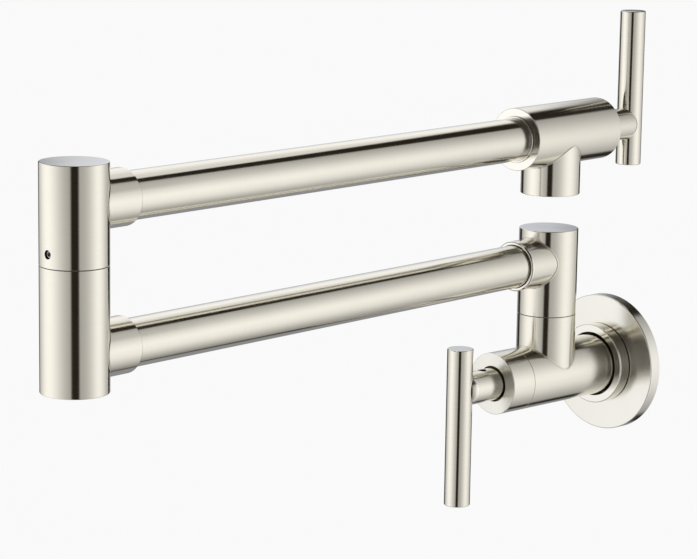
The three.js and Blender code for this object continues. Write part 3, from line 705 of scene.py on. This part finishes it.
def make_flange():
    """The flange, with the gasket's groove in its back."""
    hole = BARREL_RADIUS + FLANGE_PLAY
    groove_inner = GASKET_INNER_RADIUS - FLANGE_PLAY
    groove_outer = GASKET_OUTER_RADIUS + FLANGE_PLAY
    corners = [
        (hole, 0),
        (groove_inner, 0),
        (groove_inner, GASKET_GROOVE),
        (groove_outer, GASKET_GROOVE),
        (groove_outer, 0),
        (FLANGE_RADIUS, 0, FLANGE_BACK_EDGE),
        (FLANGE_RADIUS, FLANGE_THICKNESS, FLANGE_ROUNDING),
        (hole, FLANGE_THICKNESS),
    ]
    piece(out(corners), "flange_plate", "wall_side", NICKEL_FACE, "nickel_face", "wall_flange")


def make_gasket():
    """The gasket, its back parted into stripes."""
    corners = [(GASKET_INNER_RADIUS, 0), (GASKET_INNER_RADIUS, GASKET_THICKNESS)]
    corners += [(GASKET_OUTER_RADIUS, GASKET_THICKNESS), (GASKET_OUTER_RADIUS, 0)]
    pitch = (GASKET_OUTER_RADIUS - GASKET_INNER_RADIUS) / GASKET_STRIPES
    for i in range(1, GASKET_STRIPES):
        r = GASKET_OUTER_RADIUS - i * pitch
        corners.append((r + STRIPE_HALF_GAP, 0, STRIPE_EDGE))
        corners.append((r, STRIPE_DEPTH, STRIPE_EDGE))
        corners.append((r - STRIPE_HALF_GAP, 0, STRIPE_EDGE))
    piece(out(corners), "gasket_ribbed", "wall_side", RUBBER, "rubber", "flange_gasket")


def make_flange_ring():
    """The flat-faced ring in front of the flange, with a step at its foot."""
    corners = [
        (RING_BORE, FLANGE_THICKNESS),
        (RING_RELIEF, FLANGE_THICKNESS),
        (RING_RELIEF, RING_FOOT),
        (RING_RADIUS, RING_FOOT, RING_FOOT_EDGE),
        (RING_RADIUS, RING_FRONT, RING_ROUNDING),
        (RING_BORE, RING_FRONT, RING_BORE_EDGE),
    ]
    piece(out(corners), "escutcheon_ring", "wall_side", NICKEL, "nickel", "flange_ring")


def spindle_bore(seam, y=0.0, base=WALL):
    """The tool that cuts a swivel spindle's socket below a seam."""
    return up(rod(SPINDLE_BORE, seam - SPINDLE_DEPTH, seam + PAST), y, SMALL_ROUND, base)


def make_wall_body():
    """The wall valve's barrel with its upright stub."""
    seam = WALL_SEAT + NOSE_END - SLEEVE_SEAT
    barrel = out(rod(BARREL_RADIUS, BARREL_BACK, seam, SEAM_EDGE))
    stub = up(rod(POST_RADIUS, 0, WALL_SEAM_HEIGHT, SEAM_EDGE, 0), y=-POST_OFFSET)
    body = combined(barrel, "UNION", stub)
    body = combined(
        body,
        "DIFFERENCE",
        out(rod(BUSHING_RADIUS + BUSHING_PLAY, -PAST, BUSHING_END + STRAINER_ROOM)),
        spindle_bore(WALL_SEAM_HEIGHT, y=-POST_OFFSET),
        out(rod(CHAMBER_RADIUS, WALL_SEAT, seam + PAST), sides=SMALL_ROUND),
    )
    line = saddle(POST_RADIUS, BARREL_RADIUS, True, -POST_OFFSET, 1)
    body = joined(body, bead(line, WALL))
    piece(body, "wall_barrel", "wall_side", NICKEL, "nickel", "wall_valve_body")


def make_sleeve():
    """The barrel's front sleeve, closed but for the hub's hole."""
    nose_end = WALL_SEAT + NOSE_END
    back = nose_end - SLEEVE_SEAT + SLEEVE_GAP
    face = WALL_SEAT + SLEEVE_FACE
    corners = [
        (BONNET_RING_HOLE, back),
        (BARREL_RADIUS, back, SEAM_EDGE),
        (BARREL_RADIUS, face, EDGE),
        (FACE_HOLE, face, FACE_HOLE_EDGE),
        (FACE_HOLE, nose_end + SLEEVE_PLAY),
        (BONNET_RING_HOLE, nose_end + SLEEVE_PLAY),
    ]
    piece(out(corners), "bonnet_sleeve", "wall_side", NICKEL_SLEEVE, "nickel", "wall_bonnet_sleeve")


def make_bushing():
    """The inlet's bushing, its thread drawn as rings."""
    root = INLET_RADIUS + THREAD_DEPTH
    turns = int((BUSHING_END - BARREL_BACK - 2 * THREAD_START) / THREAD_PITCH)
    corners = [(BUSHING_RADIUS, BUSHING_END), (BUSHING_RADIUS, BARREL_BACK)]
    corners.append((root, BARREL_BACK, THREAD_EDGE))
    for i in range(turns):
        h = BARREL_BACK + THREAD_START + i * THREAD_PITCH
        corners.append((root, h, THREAD_EDGE))
        corners.append((INLET_RADIUS, h + THREAD_PITCH / 2, THREAD_EDGE))
    corners.append((root, BARREL_BACK + THREAD_START + turns * THREAD_PITCH))
    corners.append((INLET_RADIUS, BUSHING_END))
    piece(out(corners), "threaded_bushing", "wall_side", BRASS, "brass", "inlet_bushing")


# ---------- Handles ----------


def hex_grub(foot, top, place):
    """A grub screw with a hexagon socket, standing up from foot to top."""
    screw = turned(rod(GRUB_RADIUS, foot, top, GRUB_EDGE), place, SMALL_ROUND)
    socket = turned(rod(HEX_RADIUS, top - HEX_DEPTH, top + PAST), place, 6)
    return combined(screw, "DIFFERENCE", socket)


def make_handle(base, seat, side, body):
    """A valve's handle: hub, bar and the hub's grub screw."""
    bar_y = -(seat + BAR_AXIS)
    grub_y = -(seat + GRUB_AHEAD)
    hub = out(rod(HUB_RADIUS, HUB_BACK, HUB_END, HUB_ROUNDING, HUB_BACK_EDGE), y=-seat, base=base)
    hub = combined(
        hub,
        "DIFFERENCE",
        up(rod(BAR_RADIUS + BAR_PLAY, -HUB_CUT, HUB_CUT), y=bar_y, base=base),
        out(rod(HUB_BORE, HUB_BACK - PAST, HUB_BORE_END), y=-seat, sides=SMALL_ROUND, base=base),
        # the hub's grub hole is painted near black as painted shade
        drill_shade_painted(up(rod(HUB_GRUB_HOLE, HUB_HOLE_FOOT, HUB_CUT), grub_y, SMALL_ROUND, base)),
    )
    piece(hub, f"{side}_hub", body, NICKEL, "nickel", f"{side}_handle_hub")
    bar = up(rod(BAR_RADIUS, -BAR_LONG_END, BAR_SHORT_END, BAR_EDGE), y=bar_y, base=base)
    piece(bar, f"{side}_bar", body, NICKEL, "nickel", f"{side}_handle_bar")
    grub = hex_grub(SPINDLE_FLAT, GRUB_TOP, base @ shift(0, grub_y, 0))
    piece(grub, f"{side}_grub", body, STEEL, "screw_steel", f"{side}_handle_grub_screw")


# ---------- Posts and arms ----------


# Section of an arm socket, along the arm from the post's axis.
COLLAR = [
    (0, 0),
    (SOCKET_RADIUS, 0),
    (SOCKET_RADIUS, SOCKET_END, SOCKET_ROUNDING),
    (SOCKET_BORE, SOCKET_END, SEAM_EDGE),
    (SOCKET_BORE, SOCKET_FLOOR),
    (0, SOCKET_FLOOR),
]


def post_with_collar(base, low, high, arm_height, low_rounding, high_rounding):
    """A post with an arm socket, and the polished line between the two."""
    post = up(rod(POST_RADIUS, low, high, high_rounding, low_rounding), base=base)
    post = combined(post, "UNION", out(COLLAR, z=arm_height, base=base))
    line = saddle(SOCKET_RADIUS, POST_RADIUS, False, arm_height, -1)
    return post, bead(line, base)


def turning_post(base, seam, top, arm_height, name, side, body, node):
    """The turning half of a swivel, with its grub screw on the far side from the arm."""
    low = seam + SEAM
    post, line = post_with_collar(base, low, top, arm_height, SEAM_EDGE, EDGE)
    grub_place = base @ shift(0, 0, seam + LOCK_HEIGHT) @ Matrix.Rotation(-math.pi / 2, 4, "X")
    post = combined(
        post,
        "DIFFERENCE",
        up(rod(SWIVEL_BORE, low - PAST, arm_height), sides=SMALL_ROUND, base=base),
        # the post's grub hole is painted near black as painted shade
        drill_shade_painted(turned(rod(GRUB_HOLE, LOCK_HOLE_START, POST_RADIUS + 2 * PAST), grub_place, SMALL_ROUND)),
    )
    piece(joined(post, line), name, body, NICKEL, "nickel", node)
    grub = hex_grub(POST_GRUB_FOOT, POST_GRUB_TOP, grub_place)
    piece(grub, f"{side}_lock_screw", body, STEEL, "screw_steel", f"{side}_grub_screw")


def make_posts():
    """The wall post, and the two halves of the elbow."""
    turning_post(
        LOWER,
        WALL_SEAM_HEIGHT,
        WALL_POST_TOP,
        LOWER_ARM_HEIGHT,
        "wall_post",
        "wall_post",
        "lower_arm",
        "wall_swivel_post",
    )
    low_elbow, line = post_with_collar(
        ELBOW, ELBOW_BOTTOM, ELBOW_SEAM_HEIGHT, LOWER_ARM_HEIGHT, EDGE, SEAM_EDGE
    )
    low_elbow = combined(low_elbow, "DIFFERENCE", spindle_bore(ELBOW_SEAM_HEIGHT, base=ELBOW))
    piece(joined(low_elbow, line), "elbow_base", "lower_arm", NICKEL, "nickel", "elbow_lower_post")
    turning_post(
        ELBOW,
        ELBOW_SEAM_HEIGHT,
        ELBOW_TOP,
        UPPER_ARM_HEIGHT,
        "elbow_head",
        "elbow",
        "upper_arm",
        "elbow_upper_post",
    )


def make_tubes():
    """The two arm tubes."""
    lower = ring(TUBE_RADIUS, TUBE_BORE, TUBE_END, ARM_LENGTH - TUBE_END)
    lower = out(lower, z=LOWER_ARM_HEIGHT, base=LOWER)
    piece(lower, "lower_tube", "lower_arm", NICKEL, "nickel", "lower_arm_tube")
    upper = ring(TUBE_RADIUS, TUBE_BORE, TUBE_END, ARM_LENGTH - TAIL_FLOOR - TUBE_GAP)
    upper = out(upper, z=UPPER_ARM_HEIGHT, base=ELBOW)
    piece(upper, "upper_tube", "upper_arm", NICKEL, "nickel", "upper_arm_tube")


# ---------- Spout ----------


def spout_section(face):
    """Section of the spout's barrel from the tube's end to its front face."""
    gland_room = GLAND_RADIUS + GLAND_PLAY
    gland_floor = -GLAND_FLOOR + GLAND_GAP
    return [
        (0, -TAIL_FLOOR),
        (SOCKET_BORE, -TAIL_FLOOR),
        (SOCKET_BORE, gland_floor),
        (gland_room, gland_floor),
        (gland_room, -SPOUT_TAIL),
        (BARREL_RADIUS, -SPOUT_TAIL, EDGE),
        (BARREL_RADIUS, face, EDGE),
        (BONNET_RING_HOLE, face, BONNET_HOLE_EDGE),
        (BONNET_RING_HOLE, face - BONNET_SEAT),
        (CHAMBER_RADIUS, face - BONNET_SEAT),
        (CHAMBER_RADIUS, SPOUT_SEAT),
        (0, SPOUT_SEAT),
    ]


def make_spout():
    """The spout's barrel with its nozzle, and the three rings set into it."""
    face = SPOUT_SEAT + SPOUT_FACE
    barrel = out(spout_section(face), base=SPOUT)
    nozzle = up(rod(POST_RADIUS, -NOZZLE_LENGTH, 0, 0, EDGE), base=SPOUT)
    body = combined(barrel, "UNION", nozzle)
    # the nozzle's bore is painted near black as painted shade
    bore = drill_shade_painted(up(rod(NOZZLE_BORE, -NOZZLE_LENGTH - PAST, -NOZZLE_BORE_END), base=SPOUT))
    body = combined(body, "DIFFERENCE", bore)
    line = saddle(POST_RADIUS, BARREL_RADIUS, True, 0, -1)
    body = joined(body, bead(line, SPOUT))
    piece(body, "spout_barrel", "upper_arm", NICKEL, "nickel", "spout_valve_body")
    gland_hole = TUBE_RADIUS + GLAND_TUBE_PLAY
    gland = ring(GLAND_RADIUS, gland_hole, -GLAND_FRONT, -GLAND_FLOOR, GLAND_EDGE, GLAND_BORE_EDGE)
    gland = out(gland, base=SPOUT)
    piece(gland, "gland_ring", "upper_arm", NICKEL, "nickel", "tube_gland_ring")
    bonnet_back = face - BONNET_RING_DEPTH
    bonnet = ring(BONNET_RING_RADIUS, FACE_HOLE, bonnet_back, face, SEAM_EDGE, FACE_HOLE_EDGE)
    bonnet = out(bonnet, base=SPOUT)
    piece(bonnet, "bonnet_ring", "upper_arm", NICKEL_FACE, "nickel_face", "spout_bonnet_ring")
    housing = ring(
        AERATOR_RADIUS, AERATOR_BORE, -AERATOR_BOTTOM, -AERATOR_ROOF, AERATOR_EDGE, AERATOR_EDGE
    )
    housing = up(housing, base=SPOUT)
    piece(housing, "aerator_ring", "upper_arm", NICKEL, "nickel", "aerator_housing")


# ---------- CAD nodes, with their finish ----------


def dress_frame():
    """Gives every CAD node the finish of its slot."""
    finishes = {
        "nickel": NICKEL,
        "nickel_face": NICKEL_FACE,
        "brass": BRASS,
        "screw_steel": STEEL,
        "rubber": RUBBER,
        "ceramic": CERAMIC,
        "white_washer": WASHER,
        "aerator_plastic": AERATOR,
    }
    for part in frame["record"]["subparts"]:
        node = frame["nodes"][part["node"]]
        node.data.materials.clear()
        node.data.materials.append(finishes[part["material_slot"]])


# ---------- Studio ----------

CAMERA_LOOK = Vector((-0.71627894, 0.67208671, -0.18773369))
CAMERA_RIGHT = Vector((0.68206144, 0.73113817, 0.01513846))
CAMERA_UP = Vector((-0.14743363, 0.11720255, 0.9821033))
CAMERA_AZIMUTH = 46.8  # degrees between the camera's line of sight and square to the wall
FOCAL_LENGTH = 140.6  # millimetres, as is the sensor
SENSOR_WIDTH = 36.0


def make_camera():
    """The photo's viewpoint."""
    camera = bpy.data.objects.new("camera", bpy.data.cameras.new("camera"))
    camera.data.lens = FOCAL_LENGTH
    camera.data.sensor_width = SENSOR_WIDTH
    camera.data.sensor_fit = "HORIZONTAL"
    camera.data.clip_end = 100.0
    axes = Matrix((CAMERA_RIGHT, CAMERA_UP, -CAMERA_LOOK)).transposed().to_4x4()
    camera.matrix_world = Matrix.Translation(CAMERA_PLACE) @ axes
    bpy.context.scene.collection.objects.link(camera)
    bpy.context.scene.camera = camera


# The light tent. Angles are in degrees: azimuths from the camera's or from behind, and elevations.
TENT_RADIUS = 0.9  # metres
TENT_CENTRE = Vector((0.012, -0.17, 0.055))
METAL_SHARE = 0.80  # the panels' levels are divided by it, as nickel throws back about this share
GAP_LEVEL = 0.016  # light left in the dark gaps
GAP_TINT = (1.25, 1.0, 0.7, 1.0)
SLIT_START = 24  # elevation above which the dark slits lean inward
SLIT_LEAN = 1.25

# Side panels: their brightest azimuth, its width, levels, height, both edges and lean.
RIGHT_PANEL = {
    "side": 1,
    "centre": 83,
    "width": 40,
    "low": 0.315,
    "high": 0.83,
    "tall": 39,
    "near": 10.5,
    "far": 141,
    "lean": 0,
}
LEFT_PANEL = {
    "side": -1,
    "centre": 79,
    "width": 47,
    "low": 0.235,
    "high": 0.89,
    "tall": 45,
    "near": 12.5,
    "far": 139,
    "lean": 1,
}
LEAN_START = -6.0  # elevation above which a panel's brightest azimuth moves outward
SIDE_CENTRE = -9.0  # elevation where the side panels are brightest
SIDE_FALL = 0.58  # how much of their light fades above and below it
NEAR_SOFTNESS = 3.5
FAR_SOFTNESS = 4.0
FRONT_TOP = 30  # elevation where the side panels fade out above the camera
FRONT_TOP_SOFTNESS = 9.0
FRONT_SIDE = 82.0  # azimuth where that fade ends
FRONT_SIDE_SOFTNESS = 12.0
FRONT_FADE = 0.9
DIP_CENTRE = -16  # a faint darker band low on the side panels
DIP_WIDTH = 10
DIP_DEPTH = 0.04

# Back panel.
BACK_CENTRE = 2.0
BACK_WIDTH = 13.0
BACK_SOFTNESS = 4.0
BACK_WAIST = 9  # elevation where the back panel is narrowest
BACK_SPREAD = 0.3
BACK_SLANT = 0.475
BACK_LOW = 0.22
BACK_RISE = 0.60  # added to its level in the band above the object
BACK_BAND = 11.0  # elevation of the middle of that rise
BACK_BAND_SOFTNESS = 23.0
BACK_TOP = 39.0  # elevation where it fades again
BACK_TOP_SOFTNESS = 6.0
BACK_TOP_FADE = 0.1
BACK_TOP_SIDE_FADE = 0.2
BACK_TOP_WIDTH = 14
COOL_TINT = (0.93, 0.98, 1.10, 1.0)
COOL_TOP = 20  # elevation where the back panel stops being cool
COOL_SOFTNESS = 10
NO_DIVIDE_BY_ZERO = 0.01


def tent_azimuth(shader, direction, degrees):
    """Degrees round the tent, from an azimuth that is itself measured from the camera's."""
    angle = -math.radians(degrees + CAMERA_AZIMUTH)
    values = {"Vector": direction, "Angle": angle}
    turn = shader.node("ShaderNodeVectorRotate", values, rotation_type="Z_AXIS")
    apart = shader.node("ShaderNodeSeparateXYZ", {"Vector": turn.outputs["Vector"]})
    away = shader.times(apart.outputs["Y"], -1.0)
    return shader.times(shader.math("ARCTAN2", apart.outputs["X"], away), 180 / math.pi)


def over_camera(shader, outward, elevation):
    """1 above the camera, where the side panels fade, and 0 elsewhere."""
    high = shader.soft_edge(elevation, FRONT_TOP, FRONT_TOP_SOFTNESS)
    inward = shader.inverse(shader.soft_edge(outward, FRONT_SIDE, FRONT_SIDE_SOFTNESS))
    return shader.times(high, inward, FRONT_FADE)


def side_panel(shader, front, elevation, slant, side, centre, width, low, high, tall, near, far, lean):
    """A tall soft panel at one side, between the gap round the camera and a slit behind it."""
    outward = shader.times(front, side)
    higher = shader.math("MAXIMUM", shader.minus(elevation, LEAN_START), 0.0)
    peak = shader.add(shader.times(higher, lean), centre)
    level = shader.add(shader.times(shader.hump(outward, peak, width), high - low), low)
    fall = shader.times(shader.hump(elevation, SIDE_CENTRE, tall), SIDE_FALL)
    fall = shader.add(fall, 1 - SIDE_FALL)
    opens = shader.soft_edge(outward, near, NEAR_SOFTNESS)
    closes = shader.inverse(shader.soft_edge(shader.add(outward, slant), far, FAR_SOFTNESS))
    stays = shader.inverse(over_camera(shader, outward, elevation))
    return shader.times(level, fall, opens, closes, stays)


def back_panel(shader, back, elevation, slant):
    """A panel behind the object, brightest in a band above it and narrowest at its waist."""
    above = shader.minus(elevation, BACK_WAIST)
    spread = shader.times(shader.math("ABSOLUTE", above), BACK_SPREAD)
    spread = shader.add(spread, shader.times(slant, BACK_SLANT))
    off = shader.math("ABSOLUTE", shader.minus(back, BACK_CENTRE))
    inside = shader.inverse(shader.soft_edge(shader.minus(off, spread), BACK_WIDTH, BACK_SOFTNESS))
    level = shader.times(shader.soft_edge(elevation, BACK_BAND, BACK_BAND_SOFTNESS), BACK_RISE)
    level = shader.add(level, BACK_LOW)
    outer = shader.times(shader.inverse(shader.hump(back, 0, BACK_TOP_WIDTH)), BACK_TOP_SIDE_FADE)
    outer = shader.add(outer, BACK_TOP_FADE)
    dim = shader.times(shader.soft_edge(elevation, BACK_TOP, BACK_TOP_SOFTNESS), outer)
    return shader.times(level, inside, shader.inverse(dim))


def tent_tint(shader, elevation, behind, total):
    """Cool light low on the back panel and warm light in the gaps."""
    low_behind = shader.inverse(shader.soft_edge(elevation, COOL_TOP, COOL_SOFTNESS))
    share = shader.math("DIVIDE", behind, shader.add(total, NO_DIVIDE_BY_ZERO))
    tint = shader.mix(shader.times(low_behind, share), (1.0, 1.0, 1.0, 1.0), COOL_TINT)
    return shader.mix(shader.math("DIVIDE", GAP_LEVEL, total), tint, GAP_TINT)


def tent_material():
    """What the tent shines in every direction."""
    shader = Shader("light_tent")
    values = {0: shader.object_place()}
    direction = shader.node("ShaderNodeVectorMath", values, operation="NORMALIZE").outputs[0]
    height = shader.node("ShaderNodeSeparateXYZ", {"Vector": direction}).outputs["Z"]
    elevation = shader.times(shader.math("ARCSINE", height), 180 / math.pi)
    front = tent_azimuth(shader, direction, 0)
    back = tent_azimuth(shader, direction, 180)
    rise = shader.math("MAXIMUM", shader.minus(elevation, SLIT_START), 0.0)
    slant = shader.times(rise, SLIT_LEAN)
    right = side_panel(shader, front, elevation, slant, **RIGHT_PANEL)
    left = side_panel(shader, front, elevation, slant, **LEFT_PANEL)
    behind = back_panel(shader, back, elevation, slant)
    dip = shader.times(shader.hump(elevation, DIP_CENTRE, DIP_WIDTH), DIP_DEPTH)
    sides = shader.times(shader.add(right, left), shader.inverse(dip))
    total = shader.math("DIVIDE", shader.add(sides, behind), METAL_SHARE)
    total = shader.add(total, GAP_LEVEL)
    shader.link(tent_tint(shader, elevation, behind, total), "Emission Color")
    shader.link(total, "Emission Strength")
    shader.set(Base_Color=BLACK, Roughness=1.0, Specular_IOR_Level=0.0)
    return shader.material


def make_tent():
    """The soft boxes and dark gaps round the object: only reflections and shading see them."""
    mesh = bpy.data.meshes.new("light_tent")
    shape = bmesh.new()
    bmesh.ops.create_icosphere(shape, subdivisions=5, radius=TENT_RADIUS)
    shape.to_mesh(mesh)
    shape.free()
    mesh.materials.append(tent_material())
    tent = bpy.data.objects.new("light_tent", mesh)
    tent.location = TENT_CENTRE
    tent.visible_camera = False
    tent.visible_shadow = False
    bpy.context.scene.collection.objects.link(tent)


def make_world():
    """Plain light outside the tent."""
    world = bpy.data.worlds.new("studio")
    bpy.context.scene.world = world
    world.use_nodes = True
    world.node_tree.nodes["Background"].inputs["Color"].default_value = (0.9, 0.9, 0.9, 1.0)


FLOOR_DROP = 0.22  # below the object's lowest point, in metres
ROOM_RADIUS = 14.0
PALE = 0.955
PALE_DARKER = PALE * 0.995


def pale_surface(name):
    """An evenly lit surface, a little uneven in tone."""
    shader = Shader(name)
    noise = shader.stretched_noise(shader.object_place(), (3.0, 3.0, 3.0))
    shade = shader.mix(noise, (PALE_DARKER, PALE_DARKER, PALE_DARKER, 1.0), (PALE, PALE, PALE, 1.0))
    shader.link(shade, "Emission Color")
    shader.set(Base_Color=BLACK, Roughness=1.0, Specular_IOR_Level=0.0, Emission_Strength=1.0)
    return shader.material


def make_room():
    """A round room, its floor and wall seen only by the camera."""
    bpy.ops.mesh.primitive_cylinder_add(vertices=96, radius=ROOM_RADIUS, depth=ROOM_RADIUS)
    room = bpy.context.object
    room.name = "pale_room"
    room.location.z = cad_low.z - FLOOR_DROP + ROOM_RADIUS / 2
    room.data.materials.append(pale_surface("pale_room"))
    room.visible_glossy = False
    room.visible_diffuse = False
    room.visible_shadow = False


# ---------- Build ----------

bpy.context.scene.view_settings.view_transform = "Standard"
bpy.context.scene.view_settings.look = "None"
make_camera()
make_world()
make_tent()
make_room()
dress_frame()
make_flange()
make_gasket()
make_flange_ring()
make_wall_body()
make_sleeve()
make_bushing()
make_handle(WALL, WALL_SEAT, "wall", "wall_valve_handle")
make_posts()
make_tubes()
make_spout()
make_handle(SPOUT_HANDLE, SPOUT_SEAT, "spout", "spout_valve_handle")
